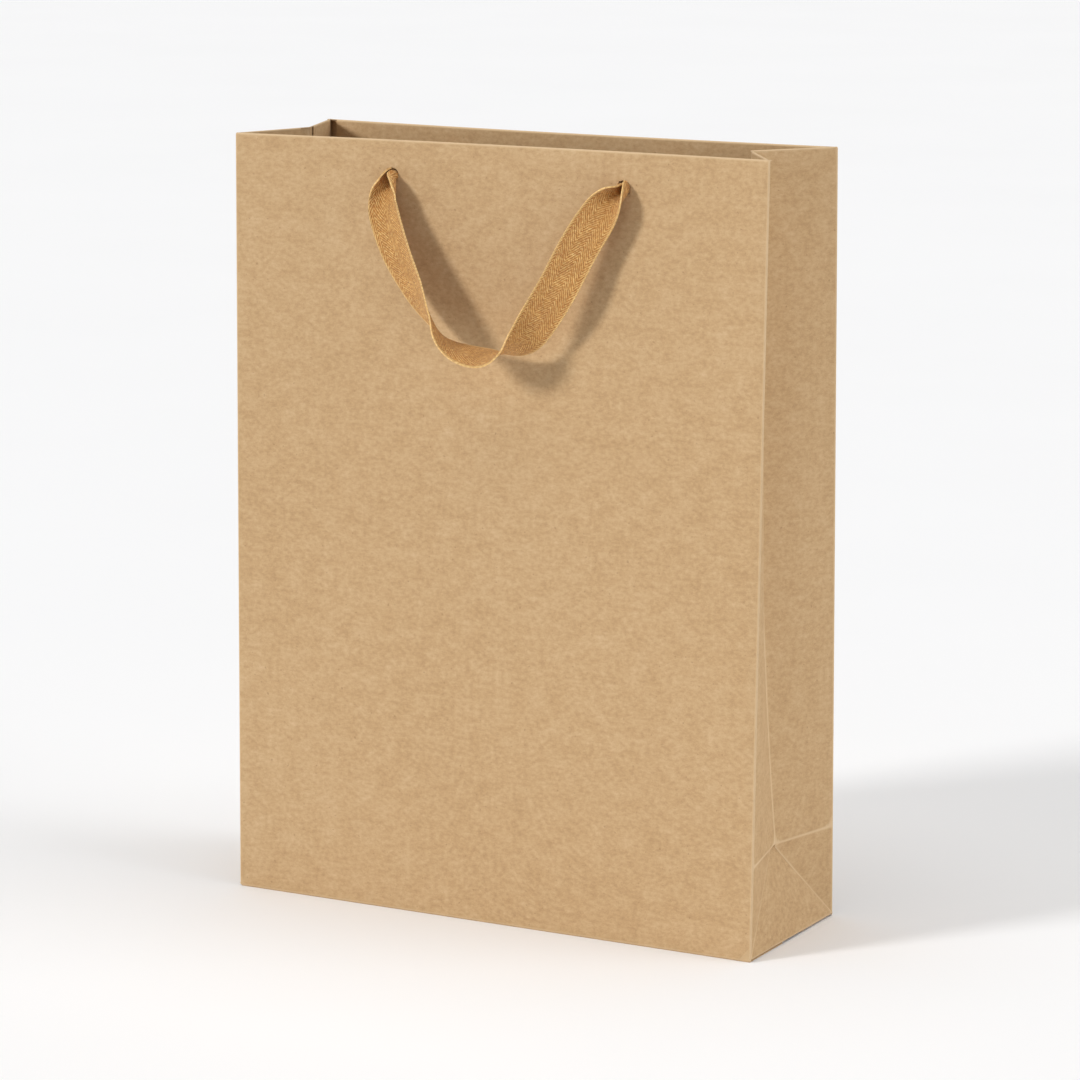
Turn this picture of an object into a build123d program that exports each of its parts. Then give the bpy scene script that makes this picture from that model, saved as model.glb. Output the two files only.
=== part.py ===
from build123d import *
from math import acos, cos, radians, sin
import os

# Kraft paper gift bag, standing open, with a woven ribbon handle hanging outside
# each broad panel.  Origin: centre of the bottom.  +X to the bag's right, the
# front panel faces -Y, +Z up.  Millimetres.

# ---- overall sizes ----
width = 240.0             # bottom, left to right
depth = 80.0              # bottom, front to back
height = 320.0            # floor to the folded top edge

# ---- sheet stock ----
paper = 0.4               # kraft paper
stiffener_card = 0.8      # grey card inside the top turn-in
base_card = 1.2           # loose card laid on the bottom
paste = 0.1               # glue line between pasted sheets

# ---- how the mouth stands at rest ----
lean_left = 2.0           # the broad panels' left top corners lean in by this much
lean_right = 7.5          # and their right top corners by this much
tuck_tilt_left = 8.0      # degrees that the bottom side triangles lean inward
tuck_tilt_right = 14.5

# ---- creases and clearances ----
hinge_gap = 0.3           # from a crease line to the sheet it turns against
tuck_gap = 0.8            # along the 45 degree creases at the bottom of the gussets
centre_gap_left = 4.8     # at the top, each gusset half stops this far short of the
centre_gap_right = 4.2    # centre crease, which leaves room for the folding
foot_gap = 1.5            # and at the foot of the crease by this much
floor_gap = 1.0           # gusset halves' lowest corners above the bottom

# ---- top turn-in ----
turn_in = 42.0            # depth of the folded-in hem
stiffener_drop = 1.0      # stiffener's top below the folded edge
stiffener_cover = 5.0     # turn-in laps this far below the stiffener
stack_inset = 9.0         # hem and stiffener stop this far from a corner crease
side_hem_start = 3.0      # the gussets' own hem starts this far from the corner

# ---- glue seam ----
seam_flap_width = 15.0
seam_flap_inset = 5.0     # from the corner crease

# ---- bottom ----
tuck_flap_tip = 2.0       # half the width of a side flap's free edge
main_flap_stop = 17.4     # a long flap ends this far short of the far side
flap_clearance = 0.2      # long flaps clear of the sheets that stand round the bottom
tuck_flap_clearance = 1.0  # side flaps clear of the leaning triangles
card_clearance = 2.0      # base card clear of the walls
card_corner = 2.0         # base card's rounded corners

# ---- handles ----
hole_left_x = -48.4       # on the front panel, seen from the front
hole_right_x = 56.1
hole_drop = 14.2          # hole centres below the top edge
hole_radius = 3.0
stem_clearance = 0.3      # bunched ribbon inside the hole, per side
knot_lip = 2.2            # a knot is larger than its hole by this much all round
knot_length = 7.5
knot_round = 2.4          # rounding of a knot's inner end
knot_seat = 0.4           # knot's face clear of the leaning turn-in
pivot_standoff = 3.0      # ribbon's turning line in front of the panel's face
ribbon_width = 16.0
ribbon_thickness = 0.9
bunch_width = 6.0         # ribbon gathered at the hole
bunch_thickness = 2.2

half_width = width / 2
half_depth = depth / 2
hem_bottom = height - turn_in
hole_z = height - hole_drop
knot_radius = hole_radius + knot_lip
flap_margin = paper + flap_clearance
tuck_flap_margin = paper + tuck_flap_clearance
card_margin = paper + card_clearance

os.makedirs("parts", exist_ok=True)


def save(builder, name):
    builder.part.label = name
    export_step(builder.part, f"parts/{name}.step")


# Each broad panel stands on its bottom crease and leans in evenly with height,
# more at the right than at the left.
def panel_lean(x, z):
    share = (x + half_width) / width
    return (lean_left + (lean_right - lean_left) * share) * z / height


# A point of a broad panel's wall, by the depth into the bag from its outer face.
# face is -1 for the front panel and 1 for the back panel.
def wall_point(face, x, z, inward):
    return Vector(x, face * (half_depth - panel_lean(x, z) - inward), z)


# A flat bar section along one line, square to the way that the sheet runs.
def section_plane(start, end, run):
    along = (end - start).normalized()
    across = along.cross(run).normalized()
    return Plane(origin=(start + end) / 2, x_dir=along, z_dir=across.cross(along) * -1)


# A sheet of even thickness ruled from a lower line to an upper line.
def ruled_sheet(lower, upper, thickness):
    run = (upper[0] + upper[1] - lower[0] - lower[1]) / 2
    with BuildPart() as sheet:
        for start, end in (lower, upper):
            with BuildSketch(section_plane(start, end, run)):
                Rectangle((end - start).length, thickness)
        loft(ruled=True)
    return sheet


# The two ribbon holes of a panel go through every layer of the turn-in.
def hole_xs(face):
    return (hole_left_x, hole_right_x) if face < 0 else (-hole_left_x, -hole_right_x)


def wall_sheet(face, x_range, z_range, outer, thickness):
    middle = outer + thickness / 2
    lower = [wall_point(face, x, z_range[0], middle) for x in x_range]
    upper = [wall_point(face, x, z_range[1], middle) for x in x_range]
    return ruled_sheet(lower, upper, thickness)


def punched_sheet(face, x_range, z_range, outer, thickness):
    with BuildPart() as sheet:
        add(wall_sheet(face, x_range, z_range, outer, thickness).part)
        for x in hole_xs(face):
            with Locations(Location((x, face * half_depth, hole_z), (90, 0, 0))):
                Cylinder(hole_radius, half_depth, mode=Mode.SUBTRACT)
    return sheet


# ---- bottom: folded flaps and the loose card ----
# The outer flap comes from the front panel, the inner one from the back panel.
# Both taper at 45 degrees towards their free edge.
def main_flap(face, z):
    edge = half_depth - flap_margin
    reach = edge + half_depth - main_flap_stop
    free = face * (edge - reach)
    taper = reach / 2
    long_x = half_width - flap_margin
    with BuildPart() as flap:
        with BuildSketch(Plane.XY.offset(z)):
            with BuildLine():
                Polyline(
                    (-long_x, face * edge),
                    (long_x, face * edge),
                    (long_x, face * (edge - taper)),
                    (long_x - taper, free),
                    (taper - long_x, free),
                    (-long_x, face * (edge - taper)),
                    close=True,
                )
            make_face()
        extrude(amount=paper)
    return flap


save(main_flap(-1, 0), "bottom_outer_flap")
save(main_flap(1, paper + paste), "bottom_inner_flap")

# The gussets' own flaps fold in between the long flaps and the card.  Their edges
# slope at 45 degrees from the corners.
tuck_flap_reach = half_depth - tuck_flap_tip
for side, side_name in ((-1, "left"), (1, "right")):
    with BuildPart() as tuck_flap:
        with BuildSketch(Plane.XY.offset(2 * (paper + paste))):
            with BuildLine():
                Polyline(
                    (side * (half_width - tuck_flap_margin), half_depth - flap_margin),
                    (side * (half_width - tuck_flap_reach), tuck_flap_tip),
                    (side * (half_width - tuck_flap_reach), -tuck_flap_tip),
                    (side * (half_width - tuck_flap_margin), flap_margin - half_depth),
                    close=True,
                )
            make_face()
        extrude(amount=paper)
    save(tuck_flap, f"bottom_{side_name}_tuck_flap")

base_card_z = 3 * (paper + paste)
with BuildPart() as base_board:
    with BuildSketch(Plane.XY.offset(base_card_z)):
        RectangleRounded(width - 2 * card_margin, depth - 2 * card_margin, card_corner)
    extrude(amount=base_card)
save(base_board, "base_board")

# ---- bottom side triangles ----
# Below its centre crease each gusset opens into a triangle that stands on the
# bottom's side edge, bounded by two 45 degree creases and leaning inward.
side_sets = (
    ("left", -1, lean_left, tuck_tilt_left, centre_gap_left),
    ("right", 1, lean_right, tuck_tilt_right, centre_gap_right),
)

for side_name, side, lean, tilt, centre_gap in side_sets:
    crease_z = paper + hinge_gap
    up_sheet = Vector(-side * sin(radians(tilt)), 0, cos(radians(tilt)))
    outward = Vector(side * cos(radians(tilt)), 0, sin(radians(tilt)))
    foot = Vector(side * half_width, 0, crease_z)
    with BuildPart() as triangle:
        with BuildSketch(Plane(origin=foot, x_dir=outward.cross(up_sheet) * -1, z_dir=outward)):
            with BuildLine():
                Polyline(
                    (hinge_gap - half_depth + paper, 0),
                    (half_depth - paper - hinge_gap, 0),
                    (0, half_depth - paper - hinge_gap),
                    close=True,
                )
            make_face()
        extrude(amount=-paper)
    save(triangle, f"{side_name}_tuck_triangle")

# ---- broad panels with their top turn-in ----
hem_inset = paper + stiffener_card + 2 * paste
stack = hem_inset + paper
full = (-half_width, half_width)
short = (stack_inset - half_width, half_width - stack_inset)

for face_name, face in (("front", -1), ("back", 1)):
    panel = punched_sheet(face, full, (paper + hinge_gap, height), 0, paper)
    save(panel, f"{face_name}_panel")

    stiffener_z = (hem_bottom + stiffener_cover, height - stiffener_drop)
    stiffener = punched_sheet(face, short, stiffener_z, paper + paste, stiffener_card)
    save(stiffener, f"{face_name}_stiffener")

    hem = punched_sheet(face, short, (hem_bottom, height), hem_inset, paper)
    save(hem, f"{face_name}_hem")

    # The ribbon's ends pass in through the holes and are tied off inside.
    for x in hole_xs(face):
        spot = wall_point(face, x, hole_z, 0)
        seen_side = "left" if x < 0 else "right"
        inner_side = Plane(origin=spot, x_dir=(1, 0, 0), z_dir=(0, -face, 0))
        with BuildPart() as knot:
            with BuildSketch(inner_side):
                Circle(hole_radius - stem_clearance)
            extrude(amount=stack + knot_seat)
            with BuildSketch(inner_side.offset(stack + knot_seat)):
                Circle(knot_radius)
            extrude(amount=knot_length)
            fillet(knot.edges().filter_by(GeomType.CIRCLE).group_by(Axis.Y)[0 if face > 0 else -1], knot_round)
        save(knot, f"{face_name}_{seen_side}_knot")

# ---- glue seam ----
# The paper tube is closed by a narrow lap pasted inside the back panel, along
# the left corner, from the bottom up to the turn-in.
seam_x = (seam_flap_inset - half_width, seam_flap_inset + seam_flap_width - half_width)
seam_z = (base_card_z + base_card + hinge_gap, hem_bottom - paste)
save(wall_sheet(1, seam_x, seam_z, paper + paste, paper), "side_seam_flap")

# ---- gussets ----
# Each side wall is creased down its middle.  A half turns about its corner
# crease; its paper is as wide as half the depth, so the pinch at the top follows
# from how far the panels lean in.
def gusset_lines(side, face, lean, tilt, centre_gap):
    corner_x = side * (half_width - paper / 2)
    edge_in = paper + hinge_gap
    low_corner = Vector(corner_x, face * (half_depth - edge_in), floor_gap + tuck_gap)
    top_corner = Vector(corner_x, face * (half_depth - lean - edge_in), height)

    pinch = acos((half_depth - lean) / half_depth)
    reach = half_depth - edge_in - centre_gap
    top_centre = top_corner + Vector(-side * sin(pinch), -face * cos(pinch), 0) * reach

    slope = radians(tilt)
    apex = Vector(
        side * (half_width - paper / 2 - half_depth * sin(slope)),
        face * foot_gap,
        half_depth * cos(slope) + tuck_gap - foot_gap + floor_gap,
    )
    return (low_corner, apex), (top_corner, top_centre)


def along(line, share):
    return line[0] + (line[1] - line[0]) * share


for side_name, side, lean, tilt, centre_gap in side_sets:
    for face_name, face in (("front", -1), ("rear", 1)):
        lower, upper = gusset_lines(side, face, lean, tilt, centre_gap)
        save(ruled_sheet(lower, upper, paper), f"{side_name}_gusset_{face_name}_half")

        # The hem is a strip of the same surface, set one sheet further in.
        top_run = upper[1] - upper[0]
        inward = Vector(-side * abs(top_run.Y), face * abs(top_run.X), 0).normalized() * (paper + paste)
        hem_share = 1 - turn_in / (height - lower[0].Z)
        start = side_hem_start / top_run.length
        corner_line = (along(lower, start), along(upper, start))
        centre_line = (lower[1], upper[1])
        hem_lower = (along(corner_line, hem_share) + inward, along(centre_line, hem_share) + inward)
        hem_upper = (corner_line[1] + inward, centre_line[1] + inward)
        save(ruled_sheet(hem_lower, hem_upper, paper), f"{side_name}_gusset_{face_name}_hem")

# ---- ribbon handles ----
# Stations down the left leg, round the hanging loop and up the right leg: the
# ribbon's middle (across, out from the panel's face, below the holes), the way its
# width runs there, its width and its thickness.  It leaves each hole bunched,
# opens flat and turns half over round the bottom of the loop.
ribbon_stations = (
    ((hole_left_x, pivot_standoff, 1.0), (1.00, 0.00, 0.00), bunch_width, bunch_thickness),
    ((-48.4, 5.0, 9.5), (0.96, -0.05, 0.24), 10.0, 1.6),
    ((-48.0, 6.2, 17.0), (0.91, -0.16, 0.32), 14.5, ribbon_thickness),
    ((-41.2, 8.2, 31.0), (0.84, -0.36, 0.38), ribbon_width, ribbon_thickness),
    ((-32.4, 10.5, 45.0), (0.70, -0.62, 0.36), ribbon_width, ribbon_thickness),
    ((-23.8, 13.0, 56.0), (0.50, -0.84, 0.16), ribbon_width, ribbon_thickness),
    ((-17.0, 15.2, 63.2), (0.44, -0.88, -0.20), ribbon_width, ribbon_thickness),
    ((-7.6, 16.0, 68.4), (0.30, -0.90, -0.34), ribbon_width, ribbon_thickness),
    ((2.6, 15.2, 70.2), (0.08, -0.94, -0.34), ribbon_width, ribbon_thickness),
    ((12.1, 13.8, 67.4), (-0.18, -0.97, -0.10), ribbon_width, ribbon_thickness),
    ((19.1, 12.8, 61.6), (-0.52, -0.80, 0.30), ribbon_width, ribbon_thickness),
    ((25.4, 12.0, 53.0), (-0.70, -0.52, 0.46), ribbon_width, ribbon_thickness),
    ((33.0, 11.0, 41.0), (-0.78, -0.34, 0.46), ribbon_width, ribbon_thickness),
    ((42.2, 9.4, 24.5), (-0.82, -0.30, 0.44), ribbon_width, ribbon_thickness),
    ((50.0, 7.6, 11.5), (-0.82, -0.30, 0.44), 13.0, 1.6),
    ((hole_right_x, pivot_standoff, 1.0), (-1.00, 0.00, 0.20), bunch_width, bunch_thickness),
)

for face_name, face in (("front", -1), ("back", 1)):
    turn = -face
    middles = [wall_point(face, turn * x, hole_z - drop, -out) for (x, out, drop), _, _, _ in ribbon_stations]
    with BuildPart() as handle:
        for index, (_, (wx, wy, wz), ribbon_w, ribbon_t) in enumerate(ribbon_stations):
            before = middles[max(index - 1, 0)]
            after = middles[min(index + 1, len(middles) - 1)]
            run = (after - before).normalized()
            across = Vector(turn * wx, turn * wy, wz)
            across = (across - run * across.dot(run)).normalized()
            with BuildSketch(Plane(origin=middles[index], x_dir=across, z_dir=run)):
                Rectangle(ribbon_w, ribbon_t)
        loft(ruled=True)
    save(handle, f"{face_name}_handle")
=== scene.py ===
from math import acos, cos, pi, radians, sin, sqrt

import bmesh
import bpy
import numpy as np
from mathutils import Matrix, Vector, noise


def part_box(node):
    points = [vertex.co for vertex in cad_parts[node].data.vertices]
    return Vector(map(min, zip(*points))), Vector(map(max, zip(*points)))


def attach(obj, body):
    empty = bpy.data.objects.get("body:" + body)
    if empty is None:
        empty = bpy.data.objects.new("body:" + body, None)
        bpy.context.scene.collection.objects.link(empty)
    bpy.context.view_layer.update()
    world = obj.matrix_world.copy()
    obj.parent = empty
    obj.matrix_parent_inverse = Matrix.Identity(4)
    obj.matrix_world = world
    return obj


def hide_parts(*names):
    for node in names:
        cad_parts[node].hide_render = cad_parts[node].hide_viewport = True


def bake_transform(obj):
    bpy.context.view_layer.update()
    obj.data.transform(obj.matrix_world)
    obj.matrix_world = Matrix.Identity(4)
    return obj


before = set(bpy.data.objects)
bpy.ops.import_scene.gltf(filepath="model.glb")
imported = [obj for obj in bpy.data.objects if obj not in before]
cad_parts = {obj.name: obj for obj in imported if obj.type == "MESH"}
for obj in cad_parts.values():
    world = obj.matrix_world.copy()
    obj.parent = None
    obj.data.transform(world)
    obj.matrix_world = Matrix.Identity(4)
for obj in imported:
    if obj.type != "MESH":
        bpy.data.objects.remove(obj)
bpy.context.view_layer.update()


# ---------------------------------------------------------------------------
# The kraft sheet.  The whole bag is one die-cut sheet of uncoated brown paper:
# matte, with short fibres and darker specks, and paler along its creases and
# edges, partly from rubbed wear and partly a painted highlight where the folds
# catch the light.  Each panel is ruled on a fine grid and given the paper's thickness.
# ---------------------------------------------------------------------------
paper = 0.0004
far_from_creases = 1.0
kraft_brown = (0.535, 0.350, 0.180, 1)
kraft_pale_and_highlight = (0.740, 0.560, 0.350, 1)
kraft_dark = (0.300, 0.170, 0.070, 1)


def node(tree, kind, inputs=None, **settings):
    made = tree.nodes.new(kind)
    for key, value in settings.items():
        setattr(made, key, value)
    for key, value in (inputs or {}).items():
        socket = made.inputs[key]
        if isinstance(value, bpy.types.NodeSocket):
            tree.links.new(value, socket)
        else:
            socket.default_value = value
    return made


def maths(tree, operation, a, b=0.0):
    return node(tree, "ShaderNodeMath", {0: a, 1: b}, operation=operation).outputs[0]


# Several layers added together, each with its own weight.
def weighted(tree, first, *others):
    total = maths(tree, "MULTIPLY", *first)
    for layer in others:
        total = maths(tree, "ADD", total, maths(tree, "MULTIPLY", *layer))
    return total


def blend_colour(tree, share, first, second):
    return node(tree, "ShaderNodeMix", {0: share, 6: first, 7: second}, data_type="RGBA").outputs[2]


def span(tree, value, low, high, to_low=0.0, to_high=1.0):
    return node(tree, "ShaderNodeMapRange", {0: value, 1: low, 2: high, 3: to_low, 4: to_high},
                interpolation_type="SMOOTHSTEP").outputs[0]


def cloud(tree, where, scale, detail=4.0, rough=0.55, stretch=None, swirl=0.0):
    if stretch:
        where = node(tree, "ShaderNodeMapping", {"Vector": where, "Scale": stretch}).outputs[0]
    return node(tree, "ShaderNodeTexNoise",
                {"Vector": where, "Scale": scale, "Detail": detail, "Roughness": rough,
                 "Distortion": swirl}).outputs[0]


def bare_finish(name):
    material = bpy.data.materials.new(name)
    material.use_nodes = True
    return material, material.node_tree, material.node_tree.nodes["Principled BSDF"]


def set_surface(tree, shader, colour, roughness, relief, strength, depth):
    bump = node(tree, "ShaderNodeBump", {"Strength": strength, "Distance": depth, "Height": relief})
    tree.links.new(colour, shader.inputs["Base Color"])
    tree.links.new(roughness, shader.inputs["Roughness"])
    tree.links.new(bump.outputs[0], shader.inputs["Normal"])


def kraft(name, on_sheet=True):
    material, tree, shader = bare_finish(name)
    if on_sheet:
        where = node(tree, "ShaderNodeAttribute", attribute_name="sheet_place").outputs["Vector"]
        fold = node(tree, "ShaderNodeAttribute", attribute_name="fold_distance").outputs["Fac"]
    else:
        where = node(tree, "ShaderNodeTexCoord").outputs["Object"]

    broad = cloud(tree, where, 9, 3)
    cloudy = cloud(tree, where, 150, 4, 0.6, (0.75, 1.0, 1.0))
    mottle = cloud(tree, where, 620, 4, 0.65, (0.7, 1.0, 1.0))
    grain = cloud(tree, where, 2300, 2, 0.7)
    fibres = cloud(tree, where, 900, 2, 0.5, (0.45, 1.0, 1.0), 2.5)
    tone = weighted(tree, (broad, 0.20), (cloudy, 0.45), (mottle, 0.75), (grain, 0.35))
    colour = blend_colour(tree, span(tree, tone, 0.80, 1.16, 0.0, 0.42), kraft_brown, kraft_pale_and_highlight)
    colour = blend_colour(tree, span(tree, tone, 0.90, 0.62, 0.0, 0.36), colour, kraft_dark)
    threads = span(tree, fibres, 0.60, 0.70)
    colour = blend_colour(tree, maths(tree, "MULTIPLY", threads, 0.16), colour, kraft_pale_and_highlight)
    specks = span(tree, cloud(tree, where, 640, 1, 0.4), 0.735, 0.775)
    colour = blend_colour(tree, maths(tree, "MULTIPLY", specks, 0.45), colour, kraft_dark)

    relief = weighted(tree, (grain, 0.6), (fibres, 1.0))
    if on_sheet:
        # Near creases and edges the paper is made paler: partly rubbed wear, partly a painted highlight
        # where the folds catch the light.
        ragged = weighted(tree, (fold, 1.0), (mottle, 0.0007))
        worn_and_highlight = span(tree, ragged, 0.0014, 0.0004)
        colour = blend_colour(tree, maths(tree, "MULTIPLY", worn_and_highlight, 0.60), colour, kraft_pale_and_highlight)
        relief = weighted(tree, (relief, 1.0), (worn_and_highlight, 0.8))
    set_surface(tree, shader, colour, span(tree, mottle, 0.3, 0.7, 0.80, 0.92), relief, 0.22, 0.0002)
    shader.inputs["Specular IOR Level"].default_value = 0.25
    return material


kraft_sheet = kraft("kraft_sheet")
kraft_flap = kraft("kraft_flap", on_sheet=False)


# A sheet from a grid of points on its outer side.  Each point also keeps its
# place on the flat sheet and how far it is from the nearest crease.
def sheet_piece(name, points, places, folds=None, kept=None, thickness=paper, material=kraft_sheet,
                offset=-1.0):
    rows, columns = points.shape[:2]
    if folds is None:
        folds = np.full((rows, columns), far_from_creases)
    faces = []
    for r in range(rows - 1):
        for c in range(columns - 1):
            if kept is None or kept(r, c):
                corner = r * columns + c
                faces.append((corner, corner + 1, corner + columns + 1, corner + columns))
    mesh = bpy.data.meshes.new(name)
    mesh.from_pydata([tuple(p) for p in points.reshape(-1, 3)], [], faces)
    place = mesh.attributes.new("sheet_place", "FLOAT_VECTOR", "POINT")
    place.data.foreach_set("vector", np.c_[places.reshape(-1, 2), np.zeros(rows * columns)].ravel())
    fold = mesh.attributes.new("fold_distance", "FLOAT", "POINT")
    fold.data.foreach_set("value", np.asarray(folds, float).ravel())
    mesh.update()
    piece = bpy.data.objects.new(name, mesh)
    bpy.context.scene.collection.objects.link(piece)
    return thicken(piece, thickness, material, offset)


def thicken(piece, thickness, material, offset):
    work = bmesh.new()
    work.from_mesh(piece.data)
    cut_away = [point for point in work.verts if not point.link_faces]
    bmesh.ops.delete(work, geom=cut_away, context="VERTS")
    work.to_mesh(piece.data)
    work.free()
    skin = piece.modifiers.new("thickness", "SOLIDIFY")
    skin.thickness = thickness
    skin.offset = offset
    depsgraph = bpy.context.evaluated_depsgraph_get()
    solid = bpy.data.meshes.new_from_object(piece.evaluated_get(depsgraph))
    piece.modifiers.clear()
    thin = piece.data
    piece.data = solid
    bpy.data.meshes.remove(thin)
    solid.name = piece.name
    solid.polygons.foreach_set("use_smooth", [True] * len(solid.polygons))
    solid.set_sharp_from_angle(angle=radians(40))
    solid.materials.clear()
    solid.materials.append(material)
    return piece


# The same grid with its columns in reverse, so that the sheet's outer side faces
# the other way.
def turned_over(points, places, folds, kept):
    last_face = points.shape[1] - 2
    return points[:, ::-1], places[:, ::-1], folds[:, ::-1], lambda r, c: kept(r, last_face - c)


# ---------------------------------------------------------------------------
# The bottom.  The long flaps from the front and back panels are pasted over the
# gussets' tuck flaps, and a loose grey card lies on top to keep it flat.
# ---------------------------------------------------------------------------
card_grey = (0.42, 0.39, 0.34, 1)
card_dark = (0.25, 0.23, 0.20, 1)


def greyboard(name):
    material, tree, shader = bare_finish(name)
    where = node(tree, "ShaderNodeTexCoord").outputs["Object"]
    pulp = cloud(tree, where, 260, 5, 0.7)
    flecks = span(tree, cloud(tree, where, 1100, 2), 0.64, 0.72)
    colour = blend_colour(tree, span(tree, pulp, 0.35, 0.7, 0.0, 0.35), card_grey, card_dark)
    colour = blend_colour(tree, maths(tree, "MULTIPLY", flecks, 0.4), colour, card_dark)
    set_surface(tree, shader, colour, span(tree, pulp, 0.3, 0.7, 0.82, 0.95), pulp, 0.25, 0.0002)
    return material


grey_card = greyboard("grey_card")


def finish_node(name, material):
    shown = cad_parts[name]
    shown.data.materials.clear()
    shown.data.materials.append(material)


for flap in ("outer_flap", "inner_flap", "left_tuck_flap", "right_tuck_flap"):
    finish_node(f"bottom_{flap}", kraft_flap)
finish_node("base_board", grey_card)

# ---------------------------------------------------------------------------
# The two broad panels.  Each stands on its bottom crease, leans in a little more
# at the right than at the left, and bows in slightly along its open top.  The top
# is turned in over a strip of grey card and pasted down.
# ---------------------------------------------------------------------------
panel_low, panel_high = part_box("front_panel")
half_width = panel_high.x
height = panel_high.z
half_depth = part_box("back_panel")[1].y
lean_left = 0.0020
lean_right = 0.0075
bow_depth = 0.0045
ripple_depth = 0.00035
corner_radius = 0.0007
foot_radius = 0.0006
foot_lift = 0.0003           # from the floor to the rounding of the bottom crease
turn_in = 0.042
stiffener_card = 0.0008
stiffener_play = 0.0004      # paste and air round the card strip in its turn-in
turn_in_depth = 2 * paper + stiffener_card + stiffener_play
turn_in_end = 0.003          # turn-in stops this far short of each corner
hole_drop = 0.0142
hole_radius = 0.0030
hole_catch = 0.00045         # points this near a hole's edge are moved on to it
hole_x = (-0.0484, 0.0561)
hole_z = height - hole_drop


def lean(x, z):
    share = (x + half_width) / (2 * half_width)
    return (lean_left + (lean_right - lean_left) * share) * z / height


def wall_y(face, x, z):
    bow = bow_depth * max(0.0, 1 - (x / half_width) ** 2) * (max(z, 0) / height) ** 2
    fade = min(1.0, (half_width - abs(x)) / 0.012, z / 0.03) if z > 0 else 0.0
    ripple = noise.noise(Vector((x * 11, z * 9, 3.7 * face))) * ripple_depth * max(fade, 0.0)
    return face * (half_depth - lean(x, z) - bow - ripple)


def spread(start, end, step, fine=(), fine_step=0.0007, reach=0.005):
    marks = list(np.linspace(start, end, max(2, round(abs(end - start) / step) + 1)))
    for centre in fine:
        marks = [m for m in marks if abs(m - centre) > reach]
        marks += list(np.arange(centre - reach, centre + reach + 1e-9, fine_step))
    return sorted(marks)


# Going up the outer side, over the folded top edge and down the inner leaf:
# the height, and how far in from the panel's outer face.
def turned_profile(low, depth_in, fine=()):
    radius = depth_in / 2
    top = height - radius
    up = [(z, 0.0) for z in spread(low, top, 0.005, fine)]
    over = [(top + radius * sin(a), radius * (1 - cos(a))) for a in np.linspace(0, pi, 9)[1:-1]]
    down = [(z, depth_in) for z in spread(top, height - turn_in, 0.005, fine)[::-1]]
    return up + over + down, len(up) + 4


def wall_holes(face):
    return hole_x if face < 0 else tuple(-x for x in hole_x)


# Cuts the ribbon holes: points near a hole's edge move on to it, and the faces
# inside it are left out.
def punch(points, holes, columns_x, rows_z):
    open_faces = set()
    for hx in holes:
        for r, z in enumerate(rows_z):
            for c, x in enumerate(columns_x):
                away = sqrt((x - hx) ** 2 + (z - hole_z) ** 2)
                if away and abs(away - hole_radius) < hole_catch:
                    share = hole_radius / away
                    points[r, c, 0] += (share - 1) * (x - hx)
                    points[r, c, 2] += (share - 1) * (z - hole_z)
        for r in range(len(rows_z) - 1):
            for c in range(len(columns_x) - 1):
                mid_x = (columns_x[c] + columns_x[c + 1]) / 2
                mid_z = (rows_z[r] + rows_z[r + 1]) / 2
                if (mid_x - hx) ** 2 + (mid_z - hole_z) ** 2 < hole_radius ** 2:
                    open_faces.add((r, c))
    return open_faces


def broad_wall(name, face):
    holes = wall_holes(face)
    flat_half = half_width - corner_radius
    columns = [(x, 0.0) for x in spread(-flat_half, flat_half, 0.004, holes)]
    rounds = [(flat_half + corner_radius * sin(a), corner_radius * (1 - cos(a)))
              for a in np.linspace(0, pi / 2, 6)[1:]]
    columns = [(-x, d) for x, d in rounds[::-1]] + columns + rounds
    profile, crest = turned_profile(foot_radius + foot_lift, turn_in_depth, (hole_z,))
    foot = [(foot_lift + foot_radius * (1 - sin(a)), foot_radius * (1 - cos(a)))
            for a in np.linspace(pi / 2, 0, 5)[:-1]]
    profile = foot + profile
    crest += len(foot)
    points = np.zeros((len(profile), len(columns), 3))
    places = np.zeros((len(profile), len(columns), 2))
    folds = np.zeros((len(profile), len(columns)))
    run = 0.0
    for r, (z, inward) in enumerate(profile):
        if r:
            run += sqrt((z - profile[r - 1][0]) ** 2 + (inward - profile[r - 1][1]) ** 2)
        for c, (x, tuck) in enumerate(columns):
            points[r, c] = (x, wall_y(face, x, z) - face * (inward + tuck), z)
            places[r, c] = (x, run)
            to_corner = max(0.0, half_width - abs(x))
            folds[r, c] = min(to_corner, height - z, max(z - foot_lift, 0.0))
    open_faces = punch(points, holes, [x for x, _ in columns], [z for z, _ in profile])

    def kept(r, c):
        inner = r >= crest
        edge_x = max(abs(columns[c][0]), abs(columns[c + 1][0]))
        return (r, c) not in open_faces and not (inner and edge_x > half_width - turn_in_end)

    grid = (points, places, folds, kept)
    return sheet_piece(name, *(turned_over(*grid) if face > 0 else grid))


# A strip that lies inside a broad panel, following its bow and lean.
def wall_strip(name, face, x_range, z_range, inward, thickness, material, holes=()):
    columns = spread(*x_range, 0.004, holes)
    levels = spread(*z_range, 0.005, (hole_z,) if holes else ())
    points = np.zeros((len(levels), len(columns), 3))
    places = np.zeros((len(levels), len(columns), 2))
    for r, z in enumerate(levels):
        for c, x in enumerate(columns):
            points[r, c] = (x, wall_y(face, x, z) - face * inward, z)
            places[r, c] = (x, z)
    open_faces = punch(points, holes, columns, levels)
    folds = np.full(points.shape[:2], far_from_creases)
    grid = (points, places, folds, lambda r, c: (r, c) not in open_faces)
    return sheet_piece(name, *(turned_over(*grid) if face > 0 else grid), thickness, material)


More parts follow.
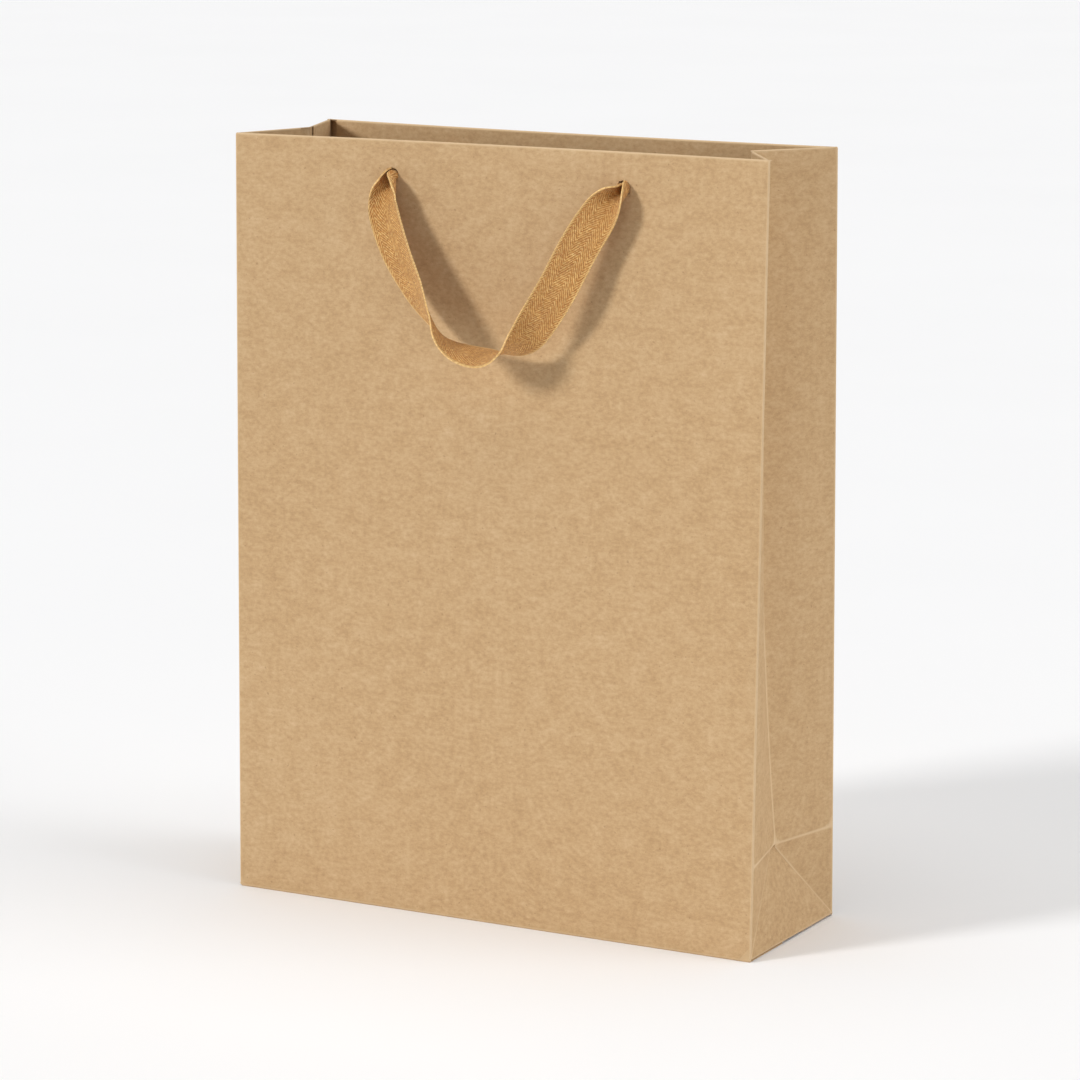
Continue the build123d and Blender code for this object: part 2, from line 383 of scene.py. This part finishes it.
card_reach = half_width - 0.009
card_levels = (height - 0.038, height - 0.0015)
for face_name, face in (("front", -1), ("back", 1)):
    wall = broad_wall(f"{face_name}_wall", face)
    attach(wall, face_name)
    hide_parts(f"{face_name}_panel", f"{face_name}_hem")

    stiffener = wall_strip(f"{face_name}_stiffener_card", face, (-card_reach, card_reach), card_levels,
                           paper + stiffener_play / 2, stiffener_card, grey_card, wall_holes(face))
    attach(stiffener, face_name)
    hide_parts(f"{face_name}_stiffener")

# The paper tube is closed by a narrow lap, pasted inside the back panel beside
# the left corner.
paste = 0.0001
seam_low, seam_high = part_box("side_seam_flap")
seam = wall_strip("side_seam_lap", 1, (seam_low.x, seam_high.x), (seam_low.z, seam_high.z),
                  paper + paste, paper, kraft_sheet)
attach(seam, "back")
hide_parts("side_seam_flap")

# ---------------------------------------------------------------------------
# The gussets.  Each side is creased down its middle and folds in towards the
# open top.  At its foot the middle crease opens into a triangle that stands on
# the side edge between two 45 degree creases, and a flat-folding crease runs
# level from the triangle's point to the corners.
# ---------------------------------------------------------------------------
tuck_tilt = {"left": radians(8.0), "right": radians(14.5)}
tuck_foot = 0.0009
tuck_set_back = Vector((0.00025, 0, 0.0002))    # its point lies behind the gusset's edges
tuck_lap = 0.0006            # and its sides reach this far behind them
lowest_foot = 0.0012         # lowest corner of a gusset half
side_lean = {"left": lean_left, "right": lean_right}
side_puff = 0.0012           # a gusset half bulges by this much halfway up
leaf_start = 0.07            # shares of a half's width between which its top is turned in
leaf_end = 0.87
half_lines = (0, 0.01, 0.03, 0.07, 0.13, 0.2, 0.3, 0.4, 0.5, 0.6, 0.7, 0.8, 0.87, 0.93, 0.97, 0.99, 1)
foot_lines = (0.03, 0.08, 0.15, 0.25, 0.4, 0.55, 0.7, 0.85, 0.95)
tuck_lines = (0, 0.01, 0.03, 0.07, 0.15, 0.3, 0.5, 0.7, 0.85, 0.93, 0.97, 0.99, 1)
tuck_levels = (0.0, 0.02, 0.06, 0.12, 0.25, 0.4, 0.55, 0.7, 0.82, 0.9, 0.95, 0.985, 1.0)


def apex_of(side, side_name):
    tilt = tuck_tilt[side_name]
    return Vector((side * (half_width - half_depth * sin(tilt)), 0.0, half_depth * cos(tilt)))


def gusset_half(name, side_name, side, face):
    apex = apex_of(side, side_name)
    level = apex.z
    profile, crest = turned_profile(level, 2 * paper + 0.0003)
    points = []
    places = []
    folds = []

    def corner_at(z):
        at = side_lean[side_name] * z / height
        return Vector((side * half_width, face * (half_depth - at - corner_radius), z))

    # Below the triangle's point, level lines run from the corner to the 45 degree crease.
    for q in foot_lines:
        start = corner_at(level * q)
        start.z = max(start.z, lowest_foot)
        end = Vector((side * half_width, face * half_depth, 0.0)).lerp(apex, q)
        run = (start - end).length
        for u in half_lines:
            points.append(start.lerp(end, u))
            places.append((run * u, level * q))
            folds.append(min(run * u, run * (1 - u) * 0.7, level * (1 - q)))

    # Above it they run from the corner to the middle crease, more and more pinched.
    for z, inward in profile:
        at = side_lean[side_name] * z / height
        pinch = acos(min(1.0, (half_depth - at) / half_depth))
        start = corner_at(z)
        along = Vector((-side * sin(pinch), -face * cos(pinch), 0))
        outward = Vector((side * cos(pinch), -face * sin(pinch), 0))
        reach = (half_depth - at - corner_radius) / cos(pinch)
        puff = side_puff * sin(pi * min(1.0, max(0.0, (z - level) / (height - level))))
        for u in half_lines:
            soft = puff * sin(pi * u) ** 2
            points.append(start + along * reach * u + outward * (soft - inward))
            places.append((reach * u, z + inward * 7))
            folds.append(min(reach * u, reach * (1 - u), abs(z - level) * 1.2, height - z))

    rows = len(foot_lines) + len(profile)
    crest += len(foot_lines)
    grid = (np.array([tuple(p) for p in points]).reshape(rows, len(half_lines), 3),
            np.array(places).reshape(rows, len(half_lines), 2),
            np.array(folds).reshape(rows, len(half_lines)),
            lambda r, c: r < crest or leaf_start <= half_lines[c] < leaf_end)
    return sheet_piece(name, *(turned_over(*grid) if side * face > 0 else grid))


def tuck_triangle(name, side_name, side):
    apex = apex_of(side, side_name)
    points = []
    places = []
    folds = []
    for q in tuck_levels:
        set_back = Vector((-side * tuck_set_back.x * q, 0, tuck_set_back.z))
        middle = Vector((side * half_width, 0, tuck_foot)).lerp(apex, q) + set_back
        reach = (half_depth - corner_radius) * (1 - q) + tuck_lap
        for u in tuck_lines:
            across = (2 * u - 1) * reach * -side
            points.append(middle + Vector((0, -across, 0)))
            places.append((across, middle.z))
            folds.append(min(1.4 * reach * min(u, 1 - u), max(middle.z - tuck_foot, 0)))
    shape = (len(tuck_levels), len(tuck_lines))
    return sheet_piece(name, np.array([tuple(p) for p in points]).reshape(*shape, 3),
                       np.array(places).reshape(*shape, 2), np.array(folds).reshape(shape))


# Each side's tuck triangle rides with the tuck's body, and the two halves of
# the gusset are built in place.
for side_name, side in (("left", -1), ("right", 1)):
    triangle = tuck_triangle(f"{side_name}_tuck", side_name, side)
    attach(triangle, f"{side_name}_tuck")
    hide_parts(f"{side_name}_tuck_triangle")
    for half_name, panel_name, face in (("front", "front", -1), ("rear", "back", 1)):
        half = gusset_half(f"{side_name}_gusset_{half_name}_side", side_name, side, face)
        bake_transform(half)
        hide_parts(f"{side_name}_gusset_{half_name}_half", f"{side_name}_gusset_{half_name}_hem")

# ---------------------------------------------------------------------------
# The ribbon handles.  Golden-tan twill tape, woven with firm pale selvedges.  It
# comes out of each hole rolled into a tight scroll, opens flat down the leg, and
# turns half over twice so that its inner side shows along the bottom of the loop.
# ---------------------------------------------------------------------------
ribbon_width = 0.0162
ribbon_thick = 0.0006
ribbon_gold = (0.660, 0.305, 0.070, 1)
ribbon_pale_and_highlight = (0.980, 0.700, 0.290, 1)
ribbon_deep_and_shade = (0.340, 0.115, 0.020, 1)
herringbone_width = 0.0041
twill_pitch = 0.0015
yarn_pitch = 0.00045


def twill_tape(name):
    material, tree, shader = bare_finish(name)
    place = node(tree, "ShaderNodeAttribute", attribute_name="sheet_place").outputs["Vector"]
    parts = node(tree, "ShaderNodeSeparateXYZ", {0: place})
    across, along = parts.outputs[0], parts.outputs[1]

    # The twill's ridges slant one way and then the other across the width.
    zigzag = maths(tree, "PINGPONG", maths(tree, "ADD", across, 0.1), herringbone_width)
    wander = cloud(tree, place, 420, 2, 0.5)
    slant = weighted(tree, (along, 1.0), (zigzag, 1.5), (wander, 0.0012))
    twill = maths(tree, "SINE", maths(tree, "MULTIPLY", slant, 2 * pi / twill_pitch))
    picks = maths(tree, "SINE", maths(tree, "MULTIPLY", along, 2 * pi / yarn_pitch))
    ends = maths(tree, "SINE", maths(tree, "MULTIPLY", across, 2 * pi / yarn_pitch))
    yarns = maths(tree, "MULTIPLY", picks, ends)
    flecks = cloud(tree, place, 820, 3, 0.7)
    relief = weighted(tree, (twill, 0.5), (yarns, 0.3), (flecks, 3.0))

    # The colour is lighter where the relief stands high and darker where it lies low: a painted highlight
    # on the raised yarns and flecks, and painted shade in the grooves between them. The darker patches
    # and pale selvedges below are the tape's own colour.
    colour = blend_colour(tree, span(tree, relief, 1.5, 2.3, 0.0, 0.85), ribbon_gold, ribbon_pale_and_highlight)
    colour = blend_colour(tree, span(tree, relief, 1.5, 0.7, 0.0, 0.70), colour, ribbon_deep_and_shade)
    patches = span(tree, cloud(tree, place, 160, 2), 0.38, 0.66, 0.0, 0.20)
    colour = blend_colour(tree, patches, colour, ribbon_deep_and_shade)
    to_middle = maths(tree, "ABSOLUTE", across)
    selvedge = span(tree, to_middle, ribbon_width / 2 - 0.0007, ribbon_width / 2 - 0.0004)
    colour = blend_colour(tree, maths(tree, "MULTIPLY", selvedge, 0.50), colour, ribbon_pale_and_highlight)
    set_surface(tree, shader, colour, span(tree, flecks, 0.3, 0.7, 0.34, 0.60), relief, 0.8, 0.0003)
    shader.inputs["Sheen Weight"].default_value = 0.12
    shader.inputs["Sheen Roughness"].default_value = 0.4
    shader.inputs["Specular IOR Level"].default_value = 0.45
    return material


ribbon_weave = twill_tape("ribbon_weave")

# The ribbon's middle line down the left leg, round the loop and up the right leg, in
# metres: across, out from the panel's face, below the holes.  With each place goes
# the way the width runs there and how far round the ribbon rolls, in radians.
ribbon_stations = (
    ((-0.0484, -0.0030, 0.0004), (1.00, 0.00, 0.00), 6.4),
    ((-0.0484, 0.0005, 0.0002), (1.00, 0.00, 0.00), 6.4),
    ((-0.0485, 0.0024, 0.0014), (1.00, 0.00, 0.05), 5.8),
    ((-0.0480, 0.0038, 0.0038), (0.98, 0.00, 0.15), 4.2),
    ((-0.0478, 0.0050, 0.0082), (0.96, -0.05, 0.24), 2.4),
    ((-0.0466, 0.0062, 0.0153), (0.93, -0.14, 0.30), 1.1),
    ((-0.0394, 0.0082, 0.0293), (0.89, -0.26, 0.36), 0.6),
    ((-0.0302, 0.0105, 0.0433), (0.79, -0.50, 0.36), 0.4),
    ((-0.0214, 0.0130, 0.0545), (0.58, -0.79, 0.18), 0.3),
    ((-0.0142, 0.0152, 0.0620), (0.46, -0.88, -0.16), 0.3),
    ((-0.0052, 0.0160, 0.0669), (0.30, -0.90, -0.34), 0.4),
    ((0.0050, 0.0152, 0.0685), (0.08, -0.94, -0.32), 0.4),
    ((0.0145, 0.0138, 0.0661), (-0.20, -0.97, 0.06), 0.4),
    ((0.0215, 0.0128, 0.0603), (-0.52, -0.78, 0.36), 0.4),
    ((0.0278, 0.0120, 0.0513), (-0.70, -0.52, 0.46), 0.5),
    ((0.0350, 0.0110, 0.0393), (-0.78, -0.36, 0.46), 0.5),
    ((0.0430, 0.0094, 0.0228), (-0.80, -0.34, 0.45), 0.6),
    ((0.0498, 0.0076, 0.0108), (-0.88, -0.14, 0.42), 1.2),
    ((0.0536, 0.0056, 0.0050), (-0.93, -0.05, 0.36), 2.8),
    ((0.0559, 0.0028, 0.0016), (-1.00, 0.00, 0.20), 5.2),
    ((0.0561, 0.0005, 0.0002), (-1.00, 0.00, 0.00), 6.4),
    ((0.0561, -0.0030, 0.0004), (-1.00, 0.00, 0.00), 6.4),
)
steps_between = 9
ribbon_columns = 33
scroll_growth = 0.035        # how much faster a rolled ribbon curls at one edge
flattest_roll = 0.05
bow_reach = 0.03             # below a hole, the ribbon follows the panel's bow down to here


# A smooth curve through a list of values, with some steps from each to the next.
def flowing(values, steps):
    values = np.asarray(values, float)
    ends = np.vstack([2 * values[0] - values[1], values, 2 * values[-1] - values[-2]])
    rows = []
    for i in range(1, len(ends) - 2):
        a, b, c, d = ends[i - 1:i + 3]
        for t in np.linspace(0, 1, steps, endpoint=False):
            rows.append(0.5 * (2 * b + (c - a) * t + (2 * a - 5 * b + 4 * c - d) * t * t
                               + (3 * b - a - 3 * c + d) * t ** 3))
    rows.append(values[-1])
    return np.array(rows)


# The ribbon's cross-section when it is rolled: along its width, and off its plane.
def rolled_section(roll, width, count):
    u = np.linspace(-1, 1, count)
    bend = roll / width * (1 + scroll_growth * roll * u)
    piece = width / (count - 1)
    angle = np.concatenate([[0], np.cumsum((bend[1:] + bend[:-1]) / 2 * piece)])
    angle -= angle[count // 2]
    half_way = (angle[1:] + angle[:-1]) / 2
    along = np.concatenate([[0], np.cumsum(np.cos(half_way) * piece)])
    off = np.concatenate([[0], np.cumsum(np.sin(half_way) * piece)])
    return along - (along.max() + along.min()) / 2, off - off.mean()


def handle_ribbon(name, face):
    turn = -face
    middles = []
    ways = []
    for (x, out, drop), (wx, wy, wz), roll in ribbon_stations:
        bowed_in = wall_y(face, turn * x, hole_z) - face * (half_depth - lean(turn * x, hole_z))
        near_hole = max(0.0, 1 - drop / bow_reach)
        flat_y = face * (half_depth - lean(turn * x, hole_z - drop) + out)
        middles.append((turn * x, flat_y + bowed_in * near_hole, hole_z - drop))
        ways.append((turn * wx, turn * wy, wz, roll))
    middles = flowing(middles, steps_between)
    ways = flowing(ways, steps_between)
    points = np.zeros((len(middles), ribbon_columns, 3))
    places = np.zeros((len(middles), ribbon_columns, 2))
    run = 0.0
    for r, middle in enumerate(middles):
        if r:
            run += float(np.linalg.norm(middle - middles[r - 1]))
        ahead = middles[min(r + 1, len(middles) - 1)] - middles[max(r - 1, 0)]
        ahead /= np.linalg.norm(ahead)
        way = ways[r][:3] - ahead * (ways[r][:3] @ ahead)
        way /= np.linalg.norm(way)
        along, off = rolled_section(max(flattest_roll, ways[r][3]), ribbon_width, ribbon_columns)
        points[r] = middle + np.outer(along, way) + np.outer(off, np.cross(ahead, way))
        places[r, :, 0] = np.linspace(-ribbon_width / 2, ribbon_width / 2, ribbon_columns)
        places[r, :, 1] = run
    made = sheet_piece(name, points, places, thickness=ribbon_thick, material=ribbon_weave, offset=0.0)
    return made, run


# ---------------------------------------------------------------------------
# Inside, each ribbon end is tied in an overhand knot too big for its hole, and its
# tail is cut off on the slant.
# ---------------------------------------------------------------------------
knot_size = 0.00115          # a trefoil knot's line is up to three times this from its middle
knot_stand = 0.0037          # middle of the knot, in from the turn-in
strand_half = 0.0017
strand_flat = 0.0011
strand_pleats = 5
pleat_depth = 0.10
strand_wall = 0.0003
tail_thick = 0.0005
tail_start = 0.003           # below the hole
tail_length = 0.017
tail_slant = 0.0035
tail_narrow = 0.0042         # tail's width where it leaves the knot, and what it gains
tail_gain = 0.0105
tail_drift = 0.006           # sideways
outer_hole = max(hole_x)


def tied_knot(name, face, hole, seat):
    lengthwise = 84
    around = 20
    points = []
    for t in np.linspace(0, 2 * pi, lengthwise + 1):
        ahead = Vector((cos(t) + 4 * cos(2 * t), -sin(t) + 4 * sin(2 * t), -3 * cos(3 * t))).normalized()
        middle = Vector((sin(t) + 2 * sin(2 * t), cos(t) - 2 * cos(2 * t), -1.5 * sin(3 * t))) * knot_size
        side = ahead.cross(Vector((0, 0, 1))).normalized()
        rise = side.cross(ahead)
        for a in np.linspace(0, 2 * pi, around + 1):
            pleat = 1 + pleat_depth * cos(strand_pleats * a)
            local = middle + side * (strand_half * pleat * cos(a)) + rise * (strand_flat * pleat * sin(a))
            points.append((hole + local.x, seat - face * (knot_stand + local.z), hole_z + local.y))
    grid = np.array(points).reshape(lengthwise + 1, around + 1, 3)
    places = np.stack(np.meshgrid(np.linspace(-0.006, 0.006, around + 1),
                                  np.linspace(0, 0.08, lengthwise + 1)), axis=-1)
    return sheet_piece(name, grid, places, thickness=strand_wall, material=ribbon_weave)


def knot_tail(name, face, hole, seat, swing):
    rows = 22
    columns = 13
    grid = np.zeros((rows, columns, 3))
    places = np.zeros((rows, columns, 2))
    for r, s in enumerate(np.linspace(0, 1, rows)):
        wide = tail_narrow + tail_gain * min(1.0, s * 1.6)
        for c, u in enumerate(np.linspace(-1, 1, columns)):
            drop = tail_start + s * (tail_length + tail_slant * u)
            fold_over = 0.0011 * (1 - s) * cos(2.5 * pi * u) + 0.0006 * sin(3 * s + u)
            grid[r, c] = (hole + swing * s * tail_drift + u * wide / 2,
                          seat - face * (0.0050 + 0.0035 * sin(1.6 * s) + fold_over), hole_z - drop)
            places[r, c] = (u * ribbon_width / 2, drop)
    return sheet_piece(name, grid, places, thickness=tail_thick, material=ribbon_weave, offset=0.0)


# The tails lie away from those of the other panel, so they pass as the mouth closes.
def tail_swing(hole):
    outward = 1 if hole > 0 else -1
    return outward if abs(hole) == outer_hole else -outward


for face_name, face in (("front", -1), ("back", 1)):
    ribbon_knots = []
    for hole in wall_holes(face):
        seen_side = "left" if hole < 0 else "right"
        seat = wall_y(face, hole, hole_z) - face * (turn_in_depth + paper)
        knot = tied_knot(f"{face_name}_{seen_side}_overhand", face, hole, seat)
        tail = knot_tail(f"{face_name}_{seen_side}_tail", face, hole, seat, tail_swing(hole))
        for piece in (knot, tail):
            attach(piece, face_name)
        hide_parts(f"{face_name}_{seen_side}_knot")
        ribbon_knots += [knot, tail]

    # The ribbon is built in place.
    ribbon, ribbon_run = handle_ribbon(f"{face_name}_ribbon", face)
    first, second = [Vector((x, wall_y(face, x, hole_z), hole_z)) for x in wall_holes(face)]
    away = (second - first).cross(Vector((0, 0, 1))).normalized()
    away = away if away.y * face > 0 else -away
    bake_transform(ribbon)
    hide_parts(f"{face_name}_handle")

# ---------------------------------------------------------------------------
# A pale floor, soft studio light from the upper left with a weaker one from the
# right and an overhead bank, and the camera.
# ---------------------------------------------------------------------------
floor_reach = 14.0
floor_mesh = bpy.data.meshes.new("floor")
floor_corners = [(x * floor_reach, y * floor_reach, 0) for x, y in ((-1, -1), (1, -1), (1, 1), (-1, 1))]
floor_mesh.from_pydata(floor_corners, [], [(0, 1, 2, 3)])
floor = bpy.data.objects.new("floor", floor_mesh)
bpy.context.scene.collection.objects.link(floor)
floor_paint, floor_tree, floor_shader = bare_finish("floor_paint")
floor_tone = cloud(floor_tree, node(floor_tree, "ShaderNodeTexCoord").outputs["Object"], 3, 3)
floor_colour = blend_colour(floor_tree, floor_tone, (0.93, 0.93, 0.935, 1), (0.96, 0.96, 0.965, 1))
floor_tree.links.new(floor_colour, floor_shader.inputs["Base Color"])
floor_shader.inputs["Roughness"].default_value = 0.85
floor_shader.inputs["Specular IOR Level"].default_value = 0.1
floor_mesh.materials.append(floor_paint)

world = bpy.data.worlds.new("studio")
bpy.context.scene.world = world
world.use_nodes = True
sky = world.node_tree.nodes["Background"]
sky.inputs["Color"].default_value = (1.0, 1.0, 1.0, 1)
sky.inputs["Strength"].default_value = 0.15


def soft_light(name, towards, softness, strength):
    lamp = bpy.data.lights.new(name, "SUN")
    lamp.angle = radians(softness)
    lamp.energy = strength
    light = bpy.data.objects.new(name, lamp)
    light.location = Vector(towards).normalized() * 2
    light.rotation_euler = Vector(towards).to_track_quat("Z", "Y").to_euler()
    bpy.context.scene.collection.objects.link(light)


soft_light("key", (-0.54, -0.76, 0.36), 12, 1.95)
soft_light("fill", (0.95, 0.16, 0.26), 50, 1.55)
soft_light("overhead", (0.0, 0.0, 1.0), 60, 1.60)
bpy.context.scene.view_settings.view_transform = "Standard"

camera_data = bpy.data.cameras.new("camera")
camera = bpy.data.objects.new("camera", camera_data)
bpy.context.scene.collection.objects.link(camera)
camera_data.lens = 139.92
camera_data.sensor_width = 36
camera_data.clip_end = 60
camera.location = (0.80548, -1.50418, 0.47816)
camera.rotation_euler = (radians(90 - 10.753), radians(-0.219), radians(28.129))
bpy.context.scene.camera = camera
